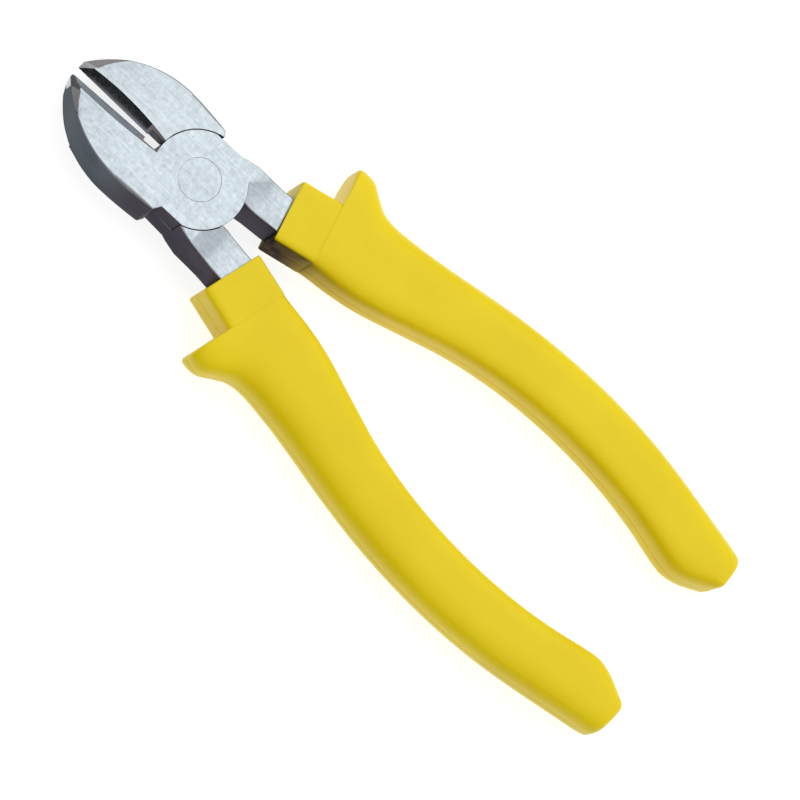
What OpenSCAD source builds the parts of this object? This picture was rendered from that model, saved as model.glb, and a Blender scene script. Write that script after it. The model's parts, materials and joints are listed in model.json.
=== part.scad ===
// Tile nippers of the diagonal pattern, 180 mm long: two forged levers that cross in a
// lap joint on a flush rivet, hard inserts along the cutting edges, and guarded sleeves.
// The tool lies flat. The origin is on the pivot axis at the bench, +Y points from the
// pivot to the jaw tips, +X to the right jaw, and +Z up.

/* [Head] */
// Thickness of the jaws and the joint
head_t = 13; // [12:0.5:14]
// Half width of the closed head at its widest
head_half_w = 12.8; // [12.4:0.1:13.4]
// Distance from the pivot to the widest place
head_wide_y = 13; // [12:0.5:14]
// Radius of the jaw's flank above the widest place
flank_r = 26.6; // [26:0.1:28]
// Radius of the jaw's cheek below the widest place
cheek_r = 70; // [50:5:90]
// Distance from the pivot to the tips
tip_y = 34.8; // [34:0.1:35.5]
// Radius of the long curve that thins the faces towards the tips
face_r = 100; // [90:5:160]
// Radius at the face of the cone that rounds off the nose
nose_r = 20.6; // [19.6:0.1:21]
// Slope of that cone, as drop over radius
nose_slope = 0.95; // [0.8:0.05:1.2]

/* [Cutting edges] */
// Width of the front bevel
bevel_w = 1.75; // [1.4:0.05:2]
// Depth of the cutting edge below the face
bevel_d = 1.65; // [1.4:0.05:2]
// Angle of the rear bevel from the vertical
rear_bevel = 24; // [20:1:28]
// Fall of the edge line towards the tips
edge_fall = 5.4; // [4:0.2:6]
// Distance that the edges meet to the left of the pivot
slit_left = 0.75; // [0:0.05:0.9]
// Gap left between the closed edges
edge_gap = 0.06; // [0.04:0.02:0.1]
// Half width of the relief opening behind the edges
relief_half_w = 1.15; // [1:0.05:1.4]
// Far end of the relief opening
relief_y = 14.6; // [14:0.2:15.4]
// Width of the hard insert
insert_w = 2.4; // [2.2:0.1:2.8]
// Depth of the hard insert below the face
insert_d = 5.2; // [4.6:0.2:6]

/* [Joint] */
// Radius of the round joint plates
plate_r = 10.9; // [10.7:0.1:11]
// Radial clearance round a joint plate
plate_clear = 0.15; // [0.1:0.05:0.2]
// Gap between the two joint plates
plate_gap = 0.1; // [0.06:0.02:0.2]
// Half width across the joint's flats
waist_half_w = 10.3; // [10.1:0.1:10.5]
// Radius of the rivet's shank
rivet_r = 3.6; // [3:0.1:4]
// Radius of the rivet's swaged ends
rivet_head_r = 4.8; // [4.4:0.1:5.2]
// Depth of the rivet's swaged ends
rivet_head_h = 1.8; // [1.4:0.1:2.2]
// Running clearance of the rivet in the front lever
rivet_clear = 0.05; // [0.03:0.01:0.08]
// Opening angle between the levers as the tool lies
rest_open = 2.86; // [1:0.02:6]

/* [Tangs] */
// Thickness of the tang where it shows
tang_t = 10.6; // [10:0.2:11.4]
// Half width of the tang inside the grip
tang_half_w = 2.8; // [2.4:0.1:3]
// Thickness of the tang inside the grip
tang_in_t = 6.4; // [5.6:0.2:7]
// Distance that the full tang reaches into the collar
tang_seat = 1.2; // [0.8:0.2:1.6]
// Length of tang along the grip
tang_len = 112; // [104:1:112]

/* [Grips] */
// Thickness of the grip
grip_t = 13; // [12:0.5:14]
// Length of the straight stretch below the collar
straight_len = 43.8; // [42:0.2:46]
// Radius of the handle's bow
bow_r = 151; // [145:1:157]
// Angle that the bow turns through
bow_sweep = 25; // [24:0.5:26]
// Length of the straight stretch at the end
end_len = 19; // [18.4:0.2:20]
// Outward lean of the handle at the collar with the jaws closed
lean_top = 13; // [12:0.2:14]
// Length of the collar
collar_len = 10; // [9.4:0.2:10.6]
// Wall of the outer cover
cover_wall = 2.2; // [1.8:0.1:2.4]
// Radius of the rounded ends of the cover
end_round = 1.8; // [1.2:0.1:2]

/* [Hidden] */
$fn = 128;

mid = head_t / 2;
past = 1;                      // overshoot of every cutting shape
reach = 60;                    // larger than the head in every direction
shoulder_low = [waist_half_w, 2.2];
shoulder_high = [12.2, 3.4];
cheek_low_y = 3.8;             // where the cheek meets the shoulder
taper_y = 14;                  // where the faces start to thin
nose_centre = [-5, 10.8];
jaw_in_x = -2;                 // past the slit, where the bevels cut the jaw off
insert_step = 0.4;             // from the relief opening to the insert
handle_start = [8.75, -18.8];  // middle of the collar's mouth, jaws closed
bow_len = bow_r * bow_sweep * PI / 180;
grip_len = straight_len + bow_len + end_len;
tang_full_y = -8;              // the tang is as thick as the head down to here
// Outer and inner outline of the tang, from the joint towards its seat in the collar
tang_outer = [[waist_half_w, 0], [waist_half_w, -3.4], [10.8, -5], [11.4, tang_full_y],
              [11.6, -12]];
tang_inner = [[3.1, -12], [3.3, tang_full_y], [0, 0]];
seat_out = 3.1;                // half widths of the tang at its seat
seat_in = 5.3;
tang_thin_y = -14;             // and at its own thickness from here
tang_tail_y = -30;             // past the seat, inside the grip
core_start = 2;                // where the core starts and how far it stays from the end
core_short = 5.7;
core_out = 9;                  // the core fills the guard no further than this

steel = [0.74, 0.77, 0.79];
carbide = [0.45, 0.46, 0.48];
yellow = [0.93, 0.80, 0.08];
core_grey = [0.25, 0.25, 0.27];

// ---- handle line -------------------------------------------------------------------
// A handle runs straight from the collar, along the bow, and straight again to its end.
function turned(s) = max(0, min(s - straight_len, bow_len)) / bow_r * 180 / PI;
function lean(s) = lean_top - turned(s);
function line_point(s) =
    handle_start
    + min(s, straight_len) * [sin(lean_top), -cos(lean_top)]
    + bow_r * [cos(lean(s)) - cos(lean_top), sin(lean(s)) - sin(lean_top)]
    + max(0, s - straight_len - bow_len) * [sin(lean(s)), -cos(lean(s))];

// ---- grip sections ------------------------------------------------------------------
// Each row: distance along the handle, width inward, width outward, share of the full
// thickness, squareness of the inner half, squareness of the outer half.
collar_rows = [
    [0, 7.2, 8.0, 0.99, 12, 12],
    [collar_len, 7.3, 8.0, 0.99, 12, 12]];
body_rows = [
    [collar_len, 7.6, 17.6, 1, 5.5, 5.5],
    [12.4, 7.9, 17.7, 1, 5, 4.2],
    [14.8, 8.3, 16.9, 1, 4.6, 3.6],
    [17, 8.6, 14.6, 1, 4.5, 3.4],
    [19.5, 8.8, 12.2, 1, 4.5, 3.2],
    [23, 9, 10.7, 1, 4.5, 3.2],
    [28, 8.9, 9.8, 1, 4.5, 3.2],
    [36, 8.3, 8.9, 0.99, 4.5, 3.2],
    [48, 7.5, 8.2, 0.97, 4.5, 3.2],
    [70, 7.1, 7.8, 0.96, 4.5, 3.2],
    [95, 7.2, 7.7, 0.96, 4.5, 3.2],
    [grip_len - 22.7, 7.5, 7.6, 0.98, 4.5, 3.2],
    [grip_len - 14.7, 7.9, 7.6, 1, 4.2, 3.2],
    [grip_len - 10.7, 7.7, 7.6, 1, 4, 3.2],
    [grip_len - 6.7, 6.1, 7.6, 1, 3.6, 3.2],
    [grip_len - 3.2, 3.8, 7.6, 0.99, 3.2, 3.2],
    [grip_len, 1.4, 7.4, 0.97, 3, 3.2]];

function row_of(rows, s, i = 0) =
    i >= len(rows) - 2 || s < rows[i + 1][0] ? i : row_of(rows, s, i + 1);
function slope_at(rows, i) =
    i == 0 ? (rows[1] - rows[0]) / (rows[1][0] - rows[0][0])
    : i == len(rows) - 1 ? (rows[i] - rows[i - 1]) / (rows[i][0] - rows[i - 1][0])
    : (rows[i + 1] - rows[i - 1]) / (rows[i + 1][0] - rows[i - 1][0]);
// Smooth cubic through the rows
function blended(rows, s) =
    let (i = row_of(rows, s), a = rows[i], b = rows[i + 1], span = b[0] - a[0],
         t = (s - a[0]) / span)
    (2 * pow(t, 3) - 3 * pow(t, 2) + 1) * a + (pow(t, 3) - 2 * pow(t, 2) + t) * span
    * slope_at(rows, i) + (3 * pow(t, 2) - 2 * pow(t, 3)) * b
    + (pow(t, 3) - pow(t, 2)) * span * slope_at(rows, i + 1);

ring_count = 28;               // points round one section
function signed_pow(v, e) = sign(v) * pow(abs(v), e);
// One section: a box-like oval, square or round by its two squareness values
function ring(s, inner, outer, half_t, n_in, n_out) =
    let (tilt = max(0, lean(s)), c = line_point(s))
    [for (k = [0 : ring_count - 1])
        let (a = 360 * k / ring_count, n = cos(a) < 0 ? n_in : n_out,
             w = signed_pow(cos(a), 2 / n) * (cos(a) < 0 ? inner : outer))
        [c[0] + w * cos(tilt), c[1] + w * sin(tilt),
         mid + half_t * signed_pow(sin(a), 2 / n)]];

// How far a rounded end draws in at distance d from it
function drawn_in(d) = d >= end_round ? 0
    : end_round - sqrt(pow(end_round, 2) - pow(end_round - d, 2));
function cover_ring(rows, s) =
    let (r = blended(rows, s), d = drawn_in(min(s, grip_len - s)))
    ring(s, max(r[1] - d, 0.5), r[2] - d, r[3] * grip_t / 2 - d, r[4], r[5]);
function core_ring(s) =
    let (r = blended(s < collar_len ? collar_rows : body_rows, s))
    ring(s, max(r[1] - cover_wall, 0.5), min(r[2], core_out) - cover_wall,
         r[3] * grip_t / 2 - cover_wall, 2.6, 2.6);

module swept(rings) {
    n = ring_count;
    last = len(rings) - 1;
    points = [for (r = rings) each r];
    sides = [for (i = [0 : last - 1], k = [0 : n - 1])
        let (k2 = (k + 1) % n, p = i * n, q = (i + 1) * n)
        each [[p + k, q + k, q + k2], [p + k, q + k2, p + k2]]];
    top_cap = [[for (k = [0 : n - 1]) k]];
    end_cap = [[for (k = [n - 1 : -1 : 0]) last * n + k]];
    polyhedron(points, concat(sides, top_cap, end_cap), convexity = 6);
}

module cover_blank() {
    round_steps = [0, 0.3, 0.9];
    collar_at = concat(round_steps, [end_round, 6, collar_len]);
    body_at = concat([collar_len], [for (s = [collar_len + 0.6 : 1.1 : 28]) s],
                     [for (s = [30 : 5 : 100]) s],
                     [for (s = [103 : 2.2 : grip_len - end_round]) s],
                     [for (k = [2 : -1 : 0]) grip_len - round_steps[k]]);
    swept(concat([for (s = collar_at) cover_ring(collar_rows, s)],
                 [for (s = body_at) cover_ring(body_rows, s)]));
}

module core_blank() {
    core_end = grip_len - core_short;
    core_at = concat([core_start], [for (s = [8 : 6 : core_end - 2]) s], [core_end]);
    swept([for (s = core_at) core_ring(s)]);
}

// ---- tang ------------------------------------------------------------------------------
// Outline of the tang inside the grip, along the handle line
module tang_strip() {
    stations = [0 : 4 : tang_len];
    function side(half_w) =
        [for (s = stations) line_point(s) + half_w * [cos(lean(s)), sin(lean(s))]];
    far_side = side(-tang_half_w);
    last = len(far_side) - 1;
    polygon(concat(side(tang_half_w), [for (i = [last : -1 : 0]) far_side[i]]));
}

// The tang's outline from the joint to its seat in the collar
module tang_root() {
    seat = handle_start + tang_seat * [sin(lean_top), -cos(lean_top)];
    across = [cos(lean_top), sin(lean_top)];
    polygon(concat(tang_outer, [seat + seat_out * across, seat - seat_in * across], tang_inner));
}

// Side view of the tang: full thickness at the joint, thinner where it shows
module tang_side() {
    thin = (head_t - tang_t) / 2;
    polygon([[past, 0], [past, head_t], [tang_full_y, head_t], [tang_thin_y, head_t - thin],
             [tang_tail_y, head_t - thin], [tang_tail_y, thin], [tang_thin_y, thin],
             [tang_full_y, 0]]);
}

module along_x(width) { rotate([90, 0, 90]) linear_extrude(width, center = true) children(); }

// The whole tang of the right handle, jaws closed
module tang() {
    intersection() {
        linear_extrude(head_t) tang_root();
        along_x(reach) tang_side();
    }
    translate([0, 0, mid - tang_in_t / 2]) linear_extrude(tang_in_t) tang_strip();
}

// ---- jaw -------------------------------------------------------------------------------
// A right jaw lies right of its slit's centre, slit_x. Both levers are drawn with the jaw
// on the right, so the slit lies on the other side of the pivot in the front one.
function slit_x(front) = front ? slit_left : -slit_left;

// Outline of the right jaw, jaws closed
module jaw_plan(front) {
    difference() {
        union() {
            intersection() {
                translate([head_half_w - flank_r, head_wide_y]) circle(r = flank_r, $fn = 240);
                translate([jaw_in_x, head_wide_y]) square([reach, tip_y - head_wide_y]);
            }
            intersection() {
                translate([head_half_w - cheek_r, head_wide_y]) circle(r = cheek_r, $fn = 480);
                polygon([[jaw_in_x, 0], shoulder_low, shoulder_high,
                         [head_half_w + past, cheek_low_y], [head_half_w + past, head_wide_y],
                         [jaw_in_x, head_wide_y]]);
            }
        }
        translate([slit_x(front) + relief_half_w - reach, -past]) square([reach, relief_y + past]);
    }
}

// Side view of the jaws, with faces that curve in towards the tips
module jaw_side() {
    translate([-reach + taper_y, 0]) square([reach, head_t]);
    intersection() {
        translate([taper_y, head_t - face_r]) circle(r = face_r, $fn = 720);
        translate([taper_y, face_r]) circle(r = face_r, $fn = 720);
        translate([taper_y - past, 0]) square([reach, head_t]);
    }
}

// The space that a right jaw fills: behind both bevels of its edge
module behind_bevels(front) {
    translate([slit_x(front) + edge_gap / 2, taper_y, head_t - bevel_d]) rotate([-edge_fall, 0, 0])
        rotate([90, 0, 0]) linear_extrude(2 * reach, center = true)
            polygon([[0, 0], [reach * bevel_w / bevel_d, reach], [reach * 2, reach],
                     [reach * 2, -reach], [reach * tan(rear_bevel), -reach]]);
}

module nose_cones() {
    wide_r = nose_r + mid / nose_slope;
    translate(concat(nose_centre, [mid])) {
        cylinder(h = mid, r1 = wide_r, r2 = nose_r, $fn = 240);
        mirror([0, 0, 1]) cylinder(h = mid, r1 = wide_r, r2 = nose_r, $fn = 240);
    }
}

module jaw(front) {
    intersection() {
        linear_extrude(head_t) jaw_plan(front);
        along_x(reach) jaw_side();
        nose_cones();
        behind_bevels(front);
    }
}

// The pocket that the hard insert fills
module insert_pocket(front) {
    translate([slit_x(front) - past, relief_y + insert_step, head_t - insert_d])
        rotate([-edge_fall, 0, 0]) cube([insert_w + past, reach, reach]);
}

// ---- levers ----------------------------------------------------------------------------
// A lever with its jaw on the right and its tang on the left. Its plate takes the lower
// half of the joint, or the upper half in the front lever.
module lever_blank(front) {
    plate_z = front ? mid + plate_gap / 2 : 0;
    free_z = front ? -past : mid - plate_gap / 2;
    difference() {
        union() {
            jaw(front);
            mirror([1, 0, 0]) tang();
        }
        translate([0, 0, free_z]) cylinder(h = mid + plate_gap / 2 + past, r = plate_r + plate_clear);
    }
    translate([0, 0, plate_z]) linear_extrude(mid - plate_gap / 2) intersection() {
        circle(r = plate_r);
        square([2 * waist_half_w, 3 * plate_r], center = true);
    }
}

module rivet_shape(clear) {
    end_over = clear > 0 ? past : 0;
    rotate_extrude() polygon([
        [0, -end_over], [rivet_head_r + clear, -end_over], [rivet_head_r + clear, 0],
        [rivet_r + clear, rivet_head_h], [rivet_r + clear, head_t - rivet_head_h],
        [rivet_head_r + clear, head_t], [rivet_head_r + clear, head_t + end_over],
        [0, head_t + end_over]]);
}

// Turn a left-right pair's shape to where its lever lies
module in_front_lever() { rotate(rest_open / 2) mirror([1, 0, 0]) children(); }
module in_rear_lever() { rotate(-rest_open / 2) children(); }

module front_lever() {
    color(steel) in_front_lever() difference() {
        lever_blank(front = true);
        insert_pocket(front = true);
        rivet_shape(rivet_clear);
    }
}

module rear_lever() {
    color(steel) in_rear_lever() difference() {
        lever_blank(front = false);
        insert_pocket(front = false);
        rivet_shape(0);
    }
}

module pivot_rivet() { color(steel) rivet_shape(0); }

module jaw_insert(front) {
    color(carbide) intersection() {
        jaw(front);
        insert_pocket(front);
    }
}
module left_jaw_insert() { in_front_lever() jaw_insert(front = true); }
module right_jaw_insert() { in_rear_lever() jaw_insert(front = false); }

// ---- grips -----------------------------------------------------------------------------
module grip_core() {
    color(core_grey) mirror([1, 0, 0]) difference() {
        core_blank();
        tang();
    }
}
module grip_cover() {
    color(yellow) mirror([1, 0, 0]) difference() {
        cover_blank();
        core_blank();
        tang();
    }
}
module right_grip_core() { in_front_lever() grip_core(); }
module left_grip_core() { in_rear_lever() grip_core(); }
module right_grip_cover() { in_front_lever() grip_cover(); }
module left_grip_cover() { in_rear_lever() grip_cover(); }

front_lever();
rear_lever();
pivot_rivet();
left_jaw_insert();
right_jaw_insert();
left_grip_core();
right_grip_core();
left_grip_cover();
right_grip_cover();
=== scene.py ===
# Tile nippers of the diagonal pattern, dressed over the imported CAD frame.
# The steel pieces are the CAD's own shapes with eased edges, and the sleeves are swept
# finely along the CAD's handle line. The tool lies on its rear face on a pale floor.
import json
import math

import bmesh
import bpy
from mathutils import Matrix, Vector

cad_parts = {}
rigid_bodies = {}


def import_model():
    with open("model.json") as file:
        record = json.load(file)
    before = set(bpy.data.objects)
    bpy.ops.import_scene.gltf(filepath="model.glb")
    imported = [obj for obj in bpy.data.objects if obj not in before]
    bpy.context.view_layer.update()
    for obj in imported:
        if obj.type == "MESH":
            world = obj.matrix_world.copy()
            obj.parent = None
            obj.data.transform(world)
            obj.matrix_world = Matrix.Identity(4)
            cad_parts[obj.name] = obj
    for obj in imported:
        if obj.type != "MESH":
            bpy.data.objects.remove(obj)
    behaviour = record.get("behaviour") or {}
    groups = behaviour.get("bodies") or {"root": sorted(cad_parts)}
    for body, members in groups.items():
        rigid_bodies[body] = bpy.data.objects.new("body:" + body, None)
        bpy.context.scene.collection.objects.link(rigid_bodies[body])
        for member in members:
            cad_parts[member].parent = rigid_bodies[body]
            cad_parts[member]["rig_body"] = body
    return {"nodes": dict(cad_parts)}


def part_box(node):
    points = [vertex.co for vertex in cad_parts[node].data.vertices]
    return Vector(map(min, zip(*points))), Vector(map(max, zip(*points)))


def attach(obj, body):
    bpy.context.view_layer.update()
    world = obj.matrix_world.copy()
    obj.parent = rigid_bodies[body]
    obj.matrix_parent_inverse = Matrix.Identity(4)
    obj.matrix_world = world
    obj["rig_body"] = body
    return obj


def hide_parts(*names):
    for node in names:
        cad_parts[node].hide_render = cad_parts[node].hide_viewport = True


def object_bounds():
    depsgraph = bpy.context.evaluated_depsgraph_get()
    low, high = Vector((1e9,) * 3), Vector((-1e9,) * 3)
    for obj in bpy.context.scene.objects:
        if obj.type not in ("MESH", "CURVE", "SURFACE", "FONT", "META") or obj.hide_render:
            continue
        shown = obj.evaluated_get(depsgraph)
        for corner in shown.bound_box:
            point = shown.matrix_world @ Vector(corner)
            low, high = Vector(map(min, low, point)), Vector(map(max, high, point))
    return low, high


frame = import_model()
cad_low, cad_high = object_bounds()

MM = 0.001
MID_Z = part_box("front_lever")[1].z / 2    # the plane between the joint's two plates

# ---- grip, in millimetres, on the CAD's handle line -----------------------------------
REST_OPEN = 2.86                          # degrees between the levers as the tool lies
HANDLE_START = Vector((8.75, -18.8))      # middle of the collar's mouth, jaws closed
LEAN_TOP = 13                             # degrees
STRAIGHT_LEN = 43.8
BOW_R = 151
BOW_SWEEP = 25                            # degrees
END_LEN = 19
BOW_LEN = BOW_R * math.radians(BOW_SWEEP)
GRIP_LEN = STRAIGHT_LEN + BOW_LEN + END_LEN
grip_low, grip_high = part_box("left_grip_cover")
GRIP_T = (grip_high.z - grip_low.z) / MM
COLLAR_LEN = 10
TANG_T = 10.6
TANG_IN = 5.3                             # the tang's reach from the line, inward
TANG_OUT = 3.1                            # and outward
TANG_CLEAR = 0.12                         # room round the tang in the mouth, across it
TANG_CLEAR_UP = 0.1                       # and through its thickness
TANG_SQUARENESS = 14

# Distance along the handle, width inward, width outward, share of the full thickness,
# squareness of the inner half, squareness of the outer half
COLLAR_ROWS = [
    (0, 7.2, 8.0, 0.99, 12, 12),
    (COLLAR_LEN, 7.3, 8.0, 0.99, 12, 12),
]
BODY_ROWS = [
    (COLLAR_LEN, 7.6, 17.6, 1, 5.5, 5.5),
    (12.4, 7.9, 17.7, 1, 5, 4.2),
    (14.8, 8.3, 16.9, 1, 4.6, 3.6),
    (17, 8.6, 14.6, 1, 4.5, 3.4),
    (19.5, 8.8, 12.2, 1, 4.5, 3.2),
    (23, 9, 10.7, 1, 4.5, 3.2),
    (28, 8.9, 9.8, 1, 4.5, 3.2),
    (36, 8.3, 8.9, 0.99, 4.5, 3.2),
    (48, 7.5, 8.2, 0.97, 4.5, 3.2),
    (70, 7.1, 7.8, 0.96, 4.5, 3.2),
    (95, 7.2, 7.7, 0.96, 4.5, 3.2),
    (GRIP_LEN - 22.7, 7.5, 7.6, 0.98, 4.5, 3.2),
    (GRIP_LEN - 14.7, 7.9, 7.6, 1, 4.2, 3.2),
    (GRIP_LEN - 10.7, 7.7, 7.6, 1, 4, 3.2),
    (GRIP_LEN - 6.7, 6.1, 7.6, 1, 3.6, 3.2),
    (GRIP_LEN - 3.2, 3.8, 7.6, 0.99, 3.2, 3.2),
    (GRIP_LEN, 1.4, 7.4, 0.97, 3, 3.2),
]


def handle_lean(s):
    """The handle's outward lean at distance s along it, in radians."""
    turned = max(0.0, min(s - STRAIGHT_LEN, BOW_LEN)) / BOW_R
    return math.radians(LEAN_TOP) - turned


def handle_point(s):
    """The handle line at distance s: straight, along the bow, and straight again."""
    top, now = math.radians(LEAN_TOP), handle_lean(s)
    point = HANDLE_START + min(s, STRAIGHT_LEN) * Vector((math.sin(top), -math.cos(top)))
    point += BOW_R * Vector((math.cos(now) - math.cos(top), math.sin(now) - math.sin(top)))
    past_bow = max(0.0, s - STRAIGHT_LEN - BOW_LEN)
    return point + past_bow * Vector((math.sin(now), -math.cos(now)))


def row_slope(rows, i):
    a, b = rows[max(i - 1, 0)], rows[min(i + 1, len(rows) - 1)]
    return [(y - x) / (b[0] - a[0]) for x, y in zip(a, b)]


def blended(rows, s):
    """Smooth cubic through the rows."""
    i = max(k for k in range(len(rows) - 1) if k == 0 or rows[k][0] <= s)
    a, b = rows[i], rows[i + 1]
    span = b[0] - a[0]
    t = (s - a[0]) / span
    weights = (2 * t**3 - 3 * t**2 + 1, (t**3 - 2 * t**2 + t) * span,
               3 * t**2 - 2 * t**3, (t**3 - t**2) * span)
    columns = zip(a, row_slope(rows, i), b, row_slope(rows, i + 1))
    return [sum(w * c for w, c in zip(weights, column)) for column in columns]


# Directions round a section: even, with more where the parting line's ridge stands
RING_STEPS = 96
RIDGE_STEPS = (0.4, 0.9, 1.5, 2.2, 3.0)   # degrees either side of the ridge


def from_side(degrees):
    """How far a direction is from the nearer of the section's two sides."""
    return min(degrees % 180, 180 - degrees % 180)


even = [360 * k / RING_STEPS for k in range(RING_STEPS)]
ridge = [(side + sign * step) % 360
         for side in (0, 180) for step in RIDGE_STEPS for sign in (-1, 1)]
RING_ANGLES = sorted({round(a, 3) for a in even if not 0 < from_side(a) <= RIDGE_STEPS[-1]}
                     | {round(a, 3) for a in ridge})

SKIN = 0.12                               # how far the sleeve stays inside the CAD's cover
LEAST_INNER = 0.4                         # the least width inward, at the sleeve's very end
RIDGE_H = 0.1                             # height of the parting line's ridge
RIDGE_W = 0.22                            # its half width


def oval(inner, outer, half_t, square_in, square_out, ridged=True):
    """One section as (across, up) points: a box-like oval with a parting ridge at each side."""
    points = []
    for degrees in RING_ANGLES:
        c, s = math.cos(math.radians(degrees)), math.sin(math.radians(degrees))
        width, power = (inner, square_in) if c < 0 else (outer, square_out)
        reach = (abs(c / width) ** power + abs(s / half_t) ** power) ** (-1 / power)
        across, up = reach * c, reach * s
        if ridged:
            across += math.copysign(RIDGE_H * (math.exp(-(up / RIDGE_W) ** 2) - 1), c)
        points.append((across, up))
    return points


def place(section, s):
    """A section's points in space at distance s along the right handle, in metres."""
    tilt = max(0.0, handle_lean(s))
    centre = handle_point(s)
    return [Vector((centre.x + a * math.cos(tilt), centre.y + a * math.sin(tilt), u)) * MM
            + Vector((0, 0, MID_Z)) for a, u in section]


def mixed(a, b, share):
    return [p.lerp(q, share) for p, q in zip(a, b)]


def section_at(rows, s, drawn=0.0):
    """The sleeve's section at s, drawn in from the CAD's by SKIN and by `drawn`."""
    _, inner, outer, thick, square_in, square_out = blended(rows, s)
    drawn += SKIN
    return oval(max(inner - drawn, LEAST_INNER), outer - drawn, thick * GRIP_T / 2 - drawn,
                square_in, square_out)


def steps(first, last, spacing):
    count = max(1, round((last - first) / spacing))
    return [first + (last - first) * k / count for k in range(count + 1)]


ARC = [math.radians(a) for a in (0, 15, 30, 45, 60, 75, 90)]
LIP_R = 0.5                               # rounded lip at the mouth
GUARD_R = 0.8                             # rounded edge of the guard
CREASE_R = 0.5                            # fillet between the collar and the guard
END_R = 1.5                               # rounded end of the sleeve
MOUTH_DEPTH = 3.0
MOUTH_RINGS = (MOUTH_DEPTH, 1.2, 0.35)    # where the hole round the tang has its rings
LIP_INSIDE = ((0.12, 0.97), (0.0, 0.9))   # distance from the mouth, and share of the way inward
STEP_FINE = 0.7                           # spacing of rings round the guard
STEP_ENDS = 0.8                           # on the collar and towards the end
STEP_COARSE = 1.6                         # and along the plain middle
MIDDLE_FROM, MIDDLE_TO = 26, 100          # mm from the mouth
# Painted shade on the sleeves' inner sides near the mouth, standing in for the shadow between the
# handles
PAINTED_SHADE_ALONG = ((7, 1.0), (13, 0.35), (34, 0.1), (128, 0.06))   # mm from the mouth, and share
PAINTED_SHADE_INWARD = ((1.0, 0.0), (3.0, 1.0))   # mm inward of the handle line, and share


def sleeve_rings():
    """Rings of points from inside the mouth, over the lip and guard, to the end."""
    rings = []
    hole = oval(TANG_IN + TANG_CLEAR, TANG_OUT + TANG_CLEAR, TANG_T / 2 + TANG_CLEAR_UP,
                TANG_SQUARENESS, TANG_SQUARENESS, ridged=False)
    rings.append(place([(a * 0.5, u * 0.5) for a, u in hole], MOUTH_DEPTH))
    rings += [place(hole, s) for s in MOUTH_RINGS]
    mouth = section_at(COLLAR_ROWS, 0)
    reach = max(abs(p[0]) for p in mouth) - TANG_OUT

    def lip(s, share):
        return mixed(place(mouth, s), place(hole, s), share)

    rings += [lip(s, share) for s, share in LIP_INSIDE]
    share = LIP_R / reach
    rings += [lip(LIP_R * (1 - math.sin(a)), share * (1 - math.cos(a))) for a in reversed(ARC)]
    rings += [place(section_at(COLLAR_ROWS, s), s)
              for s in steps(LIP_R, COLLAR_LEN - CREASE_R, STEP_ENDS)[1:]]

    collar = section_at(COLLAR_ROWS, COLLAR_LEN)
    guard = section_at(BODY_ROWS, COLLAR_LEN)
    step = max(abs(p[0]) for p in guard) - max(abs(p[0]) for p in collar)

    def shoulder(s, share):
        return mixed(place(collar, s), place(guard, s), share)

    rings += [shoulder(COLLAR_LEN - CREASE_R * (1 - math.sin(a)),
                       CREASE_R / step * (1 - math.cos(a))) for a in ARC[1:]]
    rings += [shoulder(COLLAR_LEN, share) for share in (0.25, 0.5, 0.75)]
    for a in reversed(ARC):
        s = COLLAR_LEN + GUARD_R * (1 - math.sin(a))
        rings.append(mixed(place(section_at(BODY_ROWS, s), s), place(collar, s),
                           GUARD_R / step * (1 - math.cos(a))))
    rings += [place(section_at(BODY_ROWS, s), s)
              for s in steps(COLLAR_LEN + GUARD_R, MIDDLE_FROM, STEP_FINE)[1:]
              + steps(MIDDLE_FROM, MIDDLE_TO, STEP_COARSE)[1:]
              + steps(MIDDLE_TO, GRIP_LEN - END_R, STEP_ENDS)[1:]]
    for a in ARC[1:]:
        s = GRIP_LEN - END_R * (1 - math.sin(a))
        rings.append(place(section_at(BODY_ROWS, s, END_R * (1 - math.cos(a))), s))
    last = rings[-1]
    centre = sum(last, Vector()) / len(last)
    rings += [[p.lerp(centre, share) for p in last] for share in (0.15, 0.4, 0.7)]
    return rings


def between(stops, at):
    """The value at `at` between (place, value) stops, held past the first and the last."""
    if at <= stops[0][0]:
        return stops[0][1]
    for (low, a), (high, b) in zip(stops, stops[1:]):
        if at <= high:
            return a + (b - a) * (at - low) / (high - low)
    return stops[-1][1]


def painted_shade_at(p):
    """How much painted shade darkens a sleeve at a point on the right handle: most on the inner
    side of the collar's mouth, where the handles shade each other, fading out along the handle's
    inner side."""
    tilt = math.radians(LEAN_TOP)
    from_mouth = Vector((p.x / MM, p.y / MM)) - HANDLE_START
    along = from_mouth.dot(Vector((math.sin(tilt), -math.cos(tilt))))
    inward = -from_mouth.dot(Vector((math.cos(tilt), math.sin(tilt))))
    return between(PAINTED_SHADE_ALONG, along) * between(PAINTED_SHADE_INWARD, inward)


def new_object(name, data):
    obj = bpy.data.objects.new(name, data)
    bpy.context.scene.collection.objects.link(obj)
    return obj


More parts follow.
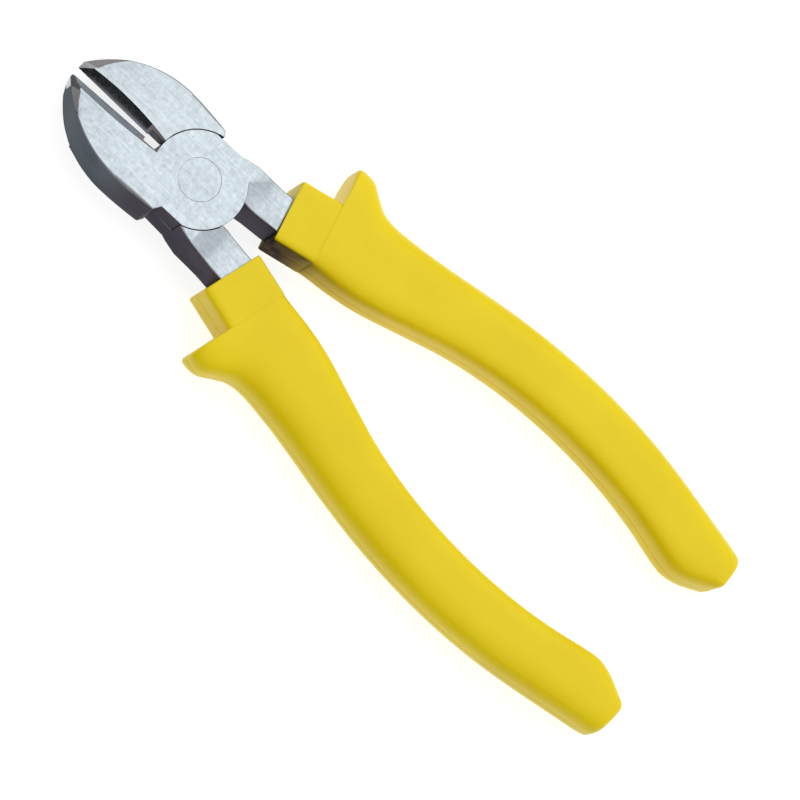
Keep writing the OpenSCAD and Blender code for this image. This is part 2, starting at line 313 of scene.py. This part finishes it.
def sleeve(name, side, replaced, body):
    """A grip sleeve; side is 1 on the right handle and -1 on the left."""
    turn = Matrix.Rotation(side * math.radians(REST_OPEN / 2), 4, "Z")
    place_it = turn @ Matrix.Diagonal((side, 1, 1, 1))
    bm = bmesh.new()
    # Each point carries how much painted shade darkens it
    painted_shade = bm.verts.layers.float.new("painted_shade")
    rings = []
    for points in sleeve_rings():
        ring = [bm.verts.new(place_it @ p) for p in points]
        for vert, p in zip(ring, points):
            vert[painted_shade] = painted_shade_at(p)
        rings.append(ring)
    count = len(RING_ANGLES)
    for a, b in zip(rings, rings[1:]):
        for k in range(count):
            n = (k + 1) % count
            bm.faces.new((a[k], b[k], b[n], a[n]))
    for ring in (rings[0], rings[-1]):
        hub = bm.verts.new(sum((v.co for v in ring), Vector()) / count)
        for k in range(count):
            bm.faces.new((ring[k], ring[(k + 1) % count], hub))
    bmesh.ops.recalc_face_normals(bm, faces=bm.faces)
    for face in bm.faces:
        face.smooth = True
    mesh = bpy.data.meshes.new(name)
    bm.to_mesh(mesh)
    bm.free()
    obj = new_object(name, mesh)
    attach(obj, body)
    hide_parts(replaced)
    return obj


# ---- steel pieces: the CAD's shapes with eased edges ------------------------------------
WIDEST_EASE = 1.2                         # mm, and the other roundings are shares of it
MERGED = 0.002                            # mm
FLAT_WITHIN = 0.2                         # degrees
SHARP_FROM = 25                           # degrees
# Rounding along the jaws' flanks: distance from the pivot, and mm
FLANK_EASES = ((4, 0.25), (8, 0.9), (14, 0.9), (20, 0.25))
NOSE_EASE = 0.25
NOSE_CORNER = (10.6, 24.7)                # where the nose meets the flank at the faces
CORNER_EASE = 0.04                        # the rounding there, which grows away from it
CORNER_GROWTH = 0.1                       # by this for each mm
FACING_Z = 0.9                            # an edge beside a face this level is a face's edge
JOINT_EASE = 0.1
TANG_EASE = 0.35
TANG_TIP_R = 13.1                         # the tang's thin outer tip beside the plate lies
TANG_TIP_X = 10                           # within this of the pivot, and outside this
PLATE_R = 10.9                            # radius of the round joint plates
SEAM = 0.6                                # how far the joint's seam reaches from it
SLIT_LEFT = 0.75                          # the edges meet this far left of the pivot
POCKET_W = 2.7                            # the insert's pocket and the relief lie within this


def lever_ease(middle, normals):
    """Rounding in mm of a lever's edge, by where its middle is and how its faces lie."""
    x, y = middle.x / MM, middle.y / MM
    from_pivot = math.hypot(x, y)
    from_slit = abs(x + SLIT_LEFT) - y * math.tan(math.radians(REST_OPEN / 2))
    if y > 0 and from_slit < POCKET_W:
        return 0
    at_tang_tip = y < 0 and abs(x) > TANG_TIP_X and from_pivot < TANG_TIP_R
    if from_pivot < PLATE_R + SEAM or at_tang_tip:
        return JOINT_EASE
    if y < 0:
        return TANG_EASE
    from_corner = math.hypot(abs(x) - NOSE_CORNER[0], y - NOSE_CORNER[1])
    on_face = max(abs(n.z) for n in normals) > FACING_Z
    widest = between(FLANK_EASES, y) if on_face else NOSE_EASE
    return min(widest, CORNER_EASE + CORNER_GROWTH * from_corner)


def insert_ease(middle, normals):
    """An insert is ground flush with its lever, so its edges stay sharp."""
    return 0


def eased(name, node, ease):
    """A copy of a CAD node with its sharp edges rounded as `ease` says."""
    bm = bmesh.new()
    bm.from_mesh(frame["nodes"][node].data)
    bmesh.ops.remove_doubles(bm, verts=bm.verts, dist=MERGED * MM)
    bmesh.ops.dissolve_limit(bm, angle_limit=math.radians(FLAT_WITHIN),
                             verts=bm.verts, edges=bm.edges)
    weight = bm.edges.layers.float.new("bevel_weight_edge")
    for edge in bm.edges:
        if edge.calc_face_angle(0) > math.radians(SHARP_FROM):
            middle = (edge.verts[0].co + edge.verts[1].co) / 2
            width = ease(middle, [f.normal for f in edge.link_faces])
            edge[weight] = width / WIDEST_EASE
            edge.smooth = width > 0
    for face in bm.faces:
        face.smooth = True
    mesh = bpy.data.meshes.new(name)
    bm.to_mesh(mesh)
    bm.free()
    obj = new_object(name, mesh)
    bevel = obj.modifiers.new("eased_edges", "BEVEL")
    bevel.limit_method = "WEIGHT"
    bevel.width = WIDEST_EASE * MM
    bevel.segments = 3
    bevel.use_clamp_overlap = False
    weighted = obj.modifiers.new("weighted_normals", "WEIGHTED_NORMAL")
    weighted.mode = "FACE_AREA_WITH_ANGLE"
    weighted.weight = 100
    weighted.keep_sharp = True
    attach(obj, frame["nodes"][node]["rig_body"])
    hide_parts(node)
    return obj


# ---- materials ---------------------------------------------------------------------------
GRIND = (1, 0.04, 1)                      # grinding marks run along the tool
RIPPLE = (1, 0.25, 1)                     # and so do the broader ripples under them
LEVEL_FACE = (0.82, 0.95)                 # from a rounding to a flat face, by facing_up


def fill_ramp(ramp, stops):
    """Gives a colour ramp its (position, colour or grey) stops."""
    while len(ramp.elements) < len(stops):
        ramp.elements.new(0.5)
    for element, (at, colour) in zip(ramp.elements, stops):
        element.position = at
        element.color = (*colour, 1) if isinstance(colour, tuple) else (colour,) * 3 + (1,)


class Nodes:
    """A node material, built a node at a time."""

    def __init__(self, name):
        self.material = bpy.data.materials.new(name)
        self.material.use_nodes = True
        self.tree = self.material.node_tree
        self.tree.nodes.clear()
        self.output = self.tree.nodes.new("ShaderNodeOutputMaterial")
        self.shader = self.tree.nodes.new("ShaderNodeBsdfPrincipled")
        self.link(self.shader.outputs["BSDF"], self.output.inputs["Surface"])
        self.place = self.tree.nodes.new("ShaderNodeTexCoord").outputs["Object"]

    def link(self, source, target):
        self.tree.links.new(source, target)

    def set(self, **values):
        for name, value in values.items():
            self.shader.inputs[name.replace("_", " ")].default_value = value

    def noise(self, scale, detail=3.0, rough=0.5, stretch=None):
        node = self.tree.nodes.new("ShaderNodeTexNoise")
        node.inputs["Scale"].default_value = scale
        node.inputs["Detail"].default_value = detail
        node.inputs["Roughness"].default_value = rough
        place = self.place
        if stretch:
            mapping = self.tree.nodes.new("ShaderNodeMapping")
            mapping.inputs["Scale"].default_value = stretch
            self.link(place, mapping.inputs["Vector"])
            place = mapping.outputs["Vector"]
        self.link(place, node.inputs["Vector"])
        return node.outputs["Fac"]

    def ramp(self, fac, *stops):
        """Stops are (position, colour or grey)."""
        node = self.tree.nodes.new("ShaderNodeValToRGB")
        fill_ramp(node.color_ramp, stops)
        self.link(fac, node.inputs["Fac"])
        return node.outputs["Color"]

    def mix(self, fac, a, b, blend="MIX"):
        node = self.tree.nodes.new("ShaderNodeMix")
        node.data_type = "RGBA"
        node.blend_type = blend
        for socket, value in zip((node.inputs[name] for name in ("Factor", "A", "B")), (fac, a, b)):
            if isinstance(value, bpy.types.NodeSocket):
                self.link(value, socket)
            else:
                socket.default_value = value if isinstance(value, (int, float)) else (*value, 1)
        return node.outputs["Result"]

    def bump(self, *layers):
        """Layers are (height, distance in mm, strength)."""
        normal = None
        for height, distance, strength in layers:
            node = self.tree.nodes.new("ShaderNodeBump")
            node.inputs["Distance"].default_value = distance * MM
            node.inputs["Strength"].default_value = strength
            self.link(height, node.inputs["Height"])
            if normal:
                self.link(normal, node.inputs["Normal"])
            normal = node.outputs["Normal"]
        self.link(normal, self.shader.inputs["Normal"])

    def attribute(self, name):
        node = self.tree.nodes.new("ShaderNodeAttribute")
        node.attribute_name = name
        return node.outputs["Fac"]

    def math(self, operation, a, b=0.0):
        node = self.tree.nodes.new("ShaderNodeMath")
        node.operation = operation
        for socket, value in zip(node.inputs, (a, b)):
            if isinstance(value, bpy.types.NodeSocket):
                self.link(value, socket)
            else:
                socket.default_value = value
        return node.outputs["Value"]

    def height_along(self, axis):
        """The object's own coordinate along an axis, in metres."""
        split = self.tree.nodes.new("ShaderNodeSeparateXYZ")
        self.link(self.place, split.inputs["Vector"])
        return split.outputs[axis]

    def facing_up(self):
        """How far the surface faces the tool's front or back: 1 on a face, 0 on a side."""
        geometry = self.tree.nodes.new("ShaderNodeNewGeometry")
        split = self.tree.nodes.new("ShaderNodeSeparateXYZ")
        self.link(geometry.outputs["Normal"], split.inputs["Vector"])
        return self.math("ABSOLUTE", split.outputs["Z"])

    def on_face(self):
        """1 on a flat face, 0 on roundings and sides."""
        return self.ramp(self.facing_up(), (LEVEL_FACE[0], 0.0), (LEVEL_FACE[1], 1.0))


def sleeve_material():
    m = Nodes("moulded_yellow_plastic")
    yellow = m.ramp(m.noise(60, 2), (0.3, (0.88, 0.66, 0.002)), (0.7, (0.92, 0.705, 0.004)))
    uneven = m.ramp(m.noise(160, 4, 0.6), (0.3, 0.75), (0.65, 1.0))
    on_side = m.ramp(m.facing_up(), (0.35, 1.0), (0.8, 0.0))
    # Painted shade: dark brown mixed into the yellow, with raised roughness, on the inner sides
    # near the collars, standing in for the shadow between the handles
    shade_mask = m.math("MULTIPLY", m.math("MULTIPLY", m.attribute("painted_shade"), uneven), on_side)
    m.link(m.mix(shade_mask, yellow, (0.045, 0.016, 0.010)), m.shader.inputs["Base Color"])
    sheen = m.ramp(m.noise(900, 4, 0.6), (0.3, 0.30), (0.75, 0.43))
    m.link(m.mix(shade_mask, sheen, (0.8,) * 3), m.shader.inputs["Roughness"])
    m.set(Subsurface_Weight=0.2, Subsurface_Scale=0.0015, Specular_IOR_Level=0.22)
    m.shader.inputs["Subsurface Radius"].default_value = (1.0, 0.45, 0.1)
    m.bump((m.noise(350, 3), 0.12, 0.25), (m.noise(2600, 3), 0.03, 0.25))
    return m.material


def polished_colour(m):
    """Bright steel, mottled finely and streaked along the tool by its grinding."""
    grain = m.noise(1500, 5, 0.65)
    streaks = m.noise(1800, 3, 0.5, stretch=GRIND)
    both = m.math("ADD", m.math("MULTIPLY", grain, 0.55), m.math("MULTIPLY", streaks, 0.45))
    return m.ramp(both, (0.34, (0.275, 0.31, 0.335)), (0.66, (0.385, 0.425, 0.45)))


def forged_material():
    """Polished faces, grey ground noses and roundings, and dark oxide on the sides."""
    m = Nodes("ground_forging")
    polished = polished_colour(m)
    ground = m.ramp(m.noise(300, 4), (0.3, (0.24, 0.222, 0.215)), (0.7, (0.34, 0.32, 0.31)))
    blue = m.ramp(m.noise(90, 4), (0.35, (0.055, 0.072, 0.088)), (0.65, (0.090, 0.110, 0.130)))
    brown = m.ramp(m.noise(90, 4), (0.35, (0.034, 0.026, 0.042)), (0.65, (0.058, 0.046, 0.066)))
    low_on_head = m.ramp(m.math("MULTIPLY", m.height_along("Y"), 20), (0.12, 1.0), (0.32, 0.0))
    oxide = m.mix(low_on_head, blue, brown)
    is_ground = m.ramp(m.facing_up(), (0.35, 0.0), (0.6, 1.0))
    is_face = m.on_face()
    m.link(m.mix(is_face, m.mix(is_ground, oxide, ground), polished),
           m.shader.inputs["Base Color"])
    smooth = m.ramp(m.noise(800, 4), (0.3, 0.22), (0.7, 0.36))
    m.link(m.mix(is_face, (0.42,) * 3, smooth), m.shader.inputs["Roughness"])
    not_ground = m.math("SUBTRACT", is_ground, is_face)
    m.link(m.math("SUBTRACT", 1.0, m.math("MULTIPLY", 0.75, not_ground)),
           m.shader.inputs["Metallic"])
    m.set(Specular_Tint=(0.65, 0.65, 0.65, 1))
    m.bump((m.noise(300, 4, stretch=RIPPLE), 0.06, 0.25),
           (m.noise(2600, 3, stretch=GRIND), 0.012, 0.5))
    return m.material


def rivet_material():
    m = Nodes("ground_rivet")
    m.link(polished_colour(m), m.shader.inputs["Base Color"])
    m.link(m.ramp(m.noise(900, 4), (0.3, 0.24), (0.7, 0.36)), m.shader.inputs["Roughness"])
    m.set(Metallic=1.0)
    m.bump((m.noise(300, 4, stretch=RIPPLE), 0.05, 0.25),
           (m.noise(2600, 3, stretch=GRIND), 0.012, 0.5))
    return m.material


def insert_material():
    m = Nodes("hard_cutting_insert")
    polished = polished_colour(m)
    bevel = m.ramp(m.noise(900, 4), (0.3, (0.40, 0.43, 0.46)), (0.7, (0.52, 0.55, 0.58)))
    m.link(m.mix(m.on_face(), bevel, polished), m.shader.inputs["Base Color"])
    m.link(m.ramp(m.noise(1200, 3), (0.3, 0.18), (0.7, 0.26)), m.shader.inputs["Roughness"])
    m.set(Metallic=1.0)
    m.bump((m.noise(700, 3, stretch=(0.2, 1, 1)), 0.02, 0.25))
    return m.material


def core_material():
    m = Nodes("grip_core_plastic")
    m.link(m.ramp(m.noise(200, 3), (0.3, (0.02, 0.02, 0.022)), (0.7, (0.035, 0.035, 0.038))),
           m.shader.inputs["Base Color"])
    m.link(m.ramp(m.noise(500, 3), (0.3, 0.45), (0.7, 0.6)), m.shader.inputs["Roughness"])
    m.bump((m.noise(600, 3), 0.05, 0.3))
    return m.material


def floor_material():
    """A pale lit table top."""
    m = Nodes("pale_floor")
    m.link(m.ramp(m.noise(6, 2), (0.3, 0.34), (0.7, 0.36)), m.shader.inputs["Base Color"])
    m.set(Roughness=0.9, Specular_IOR_Level=0.1,
          Emission_Color=(1, 1, 1, 1), Emission_Strength=0.82)
    return m.material


# ---- pieces ------------------------------------------------------------------------------
SLEEVES = sleeve_material()
FORGED = forged_material()
INSERT = insert_material()
CORE = core_material()
RIVET = rivet_material()

for name, side, replaced, body in (
        ("right_sleeve", 1, "right_grip_cover", "front_lever_side"),
        ("left_sleeve", -1, "left_grip_cover", "rear_lever_side")):
    sleeve(name, side, replaced, body).data.materials.append(SLEEVES)

for name, node in (("front_forging", "front_lever"), ("rear_forging", "rear_lever")):
    eased(name, node, lever_ease).data.materials.append(FORGED)
for name, node in (("left_edge", "left_jaw_insert"), ("right_edge", "right_jaw_insert")):
    eased(name, node, insert_ease).data.materials.append(INSERT)

for node, material in (("pivot_rivet", RIVET), ("left_grip_core", CORE), ("right_grip_core", CORE)):
    frame["nodes"][node].data.materials.clear()
    frame["nodes"][node].data.materials.append(material)


# ---- floor, light and camera ---------------------------------------------------------------
FLOOR_HALF = 4                            # metres
FLOOR_DROP = 0.02                         # mm below the tool
TENT_BRIGHTEST = (0.25, -0.3, 0.92)
TENT_LEVEL = 1.3
TENT_TINT = (0.98, 0.99, 1.0)
# Cosine of the angle from the brightest direction, and share of the full brightness
TENT_FALL = ((-0.3, 0.04), (0.2, 0.2), (0.6, 0.5), (0.85, 0.72), (1.0, 1.0))
FLAG_TOWARD = (-0.92, 0.0, 0.30)          # a black card low on the left, seen in the right bevel
FLAG_INNER = 16                           # degrees from its middle to where it starts to fade
FLAG_OUTER = 30                           # and to where it ends
FLAG_LEVEL = 0.05
KEY_TOWARD = (0.55, 0.1, 0.9)
KEY_DISTANCE = 1.6                        # metres
KEY_SIZE = 1.3                            # metres
KEY_WATTS = 6
CAMERA_TILT = 8.154                       # degrees about the picture's level axis
CAMERA_SWAY = 20                          # degrees towards the tool's left
CAMERA_TURN = 45.57                       # degrees that the jaws point left of upright
CAMERA_DISTANCE = 958.65                  # mm
CAMERA_AIM = (-1.54, -64.66)              # mm, in the plane between the plates
SENSOR_W = 36                             # mm
LENS = 199.7                              # mm


def floor():
    bm = bmesh.new()
    bmesh.ops.create_grid(bm, x_segments=1, y_segments=1, size=FLOOR_HALF)
    mesh = bpy.data.meshes.new("floor")
    bm.to_mesh(mesh)
    bm.free()
    obj = new_object("floor", mesh)
    obj.location.z = cad_low.z - FLOOR_DROP * MM
    obj.data.materials.append(floor_material())


def key_light():
    """A softbox above the tool on its right."""
    light = bpy.data.lights.new("key", "AREA")
    light.shape = "SQUARE"
    light.size = KEY_SIZE
    light.energy = KEY_WATTS
    obj = new_object("key", light)
    direction = Vector(KEY_TOWARD).normalized()
    obj.location = (cad_low + cad_high) / 2 + direction * KEY_DISTANCE
    obj.rotation_euler = direction.to_track_quat("Z", "Y").to_euler()


def world():
    """A light tent, bright overhead on the near right and dim at the left, with a black card."""
    scene_world = bpy.data.worlds.new("studio")
    scene_world.use_nodes = True
    tree = scene_world.node_tree
    tree.nodes.clear()
    output = tree.nodes.new("ShaderNodeOutputWorld")
    background = tree.nodes.new("ShaderNodeBackground")
    place = tree.nodes.new("ShaderNodeTexCoord")

    def nearness(toward):
        """Cosine of the angle between a direction in the world and `toward`."""
        dot = tree.nodes.new("ShaderNodeVectorMath")
        dot.operation = "DOT_PRODUCT"
        dot.inputs[1].default_value = Vector(toward).normalized()
        tree.links.new(place.outputs["Generated"], dot.inputs[0])
        return dot.outputs["Value"]

    half = tree.nodes.new("ShaderNodeMapRange")
    half.inputs["From Min"].default_value = -1
    tree.links.new(nearness(TENT_BRIGHTEST), half.inputs["Value"])
    ramp = tree.nodes.new("ShaderNodeValToRGB")
    fill_ramp(ramp.color_ramp, [((at + 1) / 2, tuple(grey * tint for tint in TENT_TINT))
                                for at, grey in TENT_FALL])
    tree.links.new(half.outputs["Result"], ramp.inputs["Fac"])

    flag = tree.nodes.new("ShaderNodeMapRange")
    flag.inputs["From Min"].default_value = math.cos(math.radians(FLAG_OUTER))
    flag.inputs["From Max"].default_value = math.cos(math.radians(FLAG_INNER))
    flag.inputs["To Min"].default_value = 1
    flag.inputs["To Max"].default_value = FLAG_LEVEL
    tree.links.new(nearness(FLAG_TOWARD), flag.inputs["Value"])
    flagged = tree.nodes.new("ShaderNodeVectorMath")
    flagged.operation = "SCALE"
    tree.links.new(ramp.outputs["Color"], flagged.inputs[0])
    tree.links.new(flag.outputs["Result"], flagged.inputs["Scale"])
    tree.links.new(flagged.outputs["Vector"], background.inputs["Color"])
    background.inputs["Strength"].default_value = TENT_LEVEL
    tree.links.new(background.outputs["Background"], output.inputs["Surface"])
    bpy.context.scene.world = scene_world


def camera():
    """The camera looks down from the left, with the tool turned so its jaws point up left."""
    look = (Matrix.Rotation(math.radians(CAMERA_TURN), 3, "Z")
            @ Matrix.Rotation(math.radians(CAMERA_TILT), 3, "X")
            @ Matrix.Rotation(math.radians(CAMERA_SWAY), 3, "Y"))
    data = bpy.data.cameras.new("camera")
    data.sensor_width = SENSOR_W
    data.lens = LENS
    obj = new_object("camera", data)
    turned = look.transposed()
    back = turned @ Vector((0, 0, 1))
    aim = Vector((CAMERA_AIM[0] * MM, CAMERA_AIM[1] * MM, MID_Z))
    place = Matrix.Translation(aim + back * (CAMERA_DISTANCE * MM))
    obj.matrix_world = place @ turned.to_4x4()
    bpy.context.scene.camera = obj


floor()
world()
key_light()
camera()
bpy.context.scene.view_settings.view_transform = "Standard"
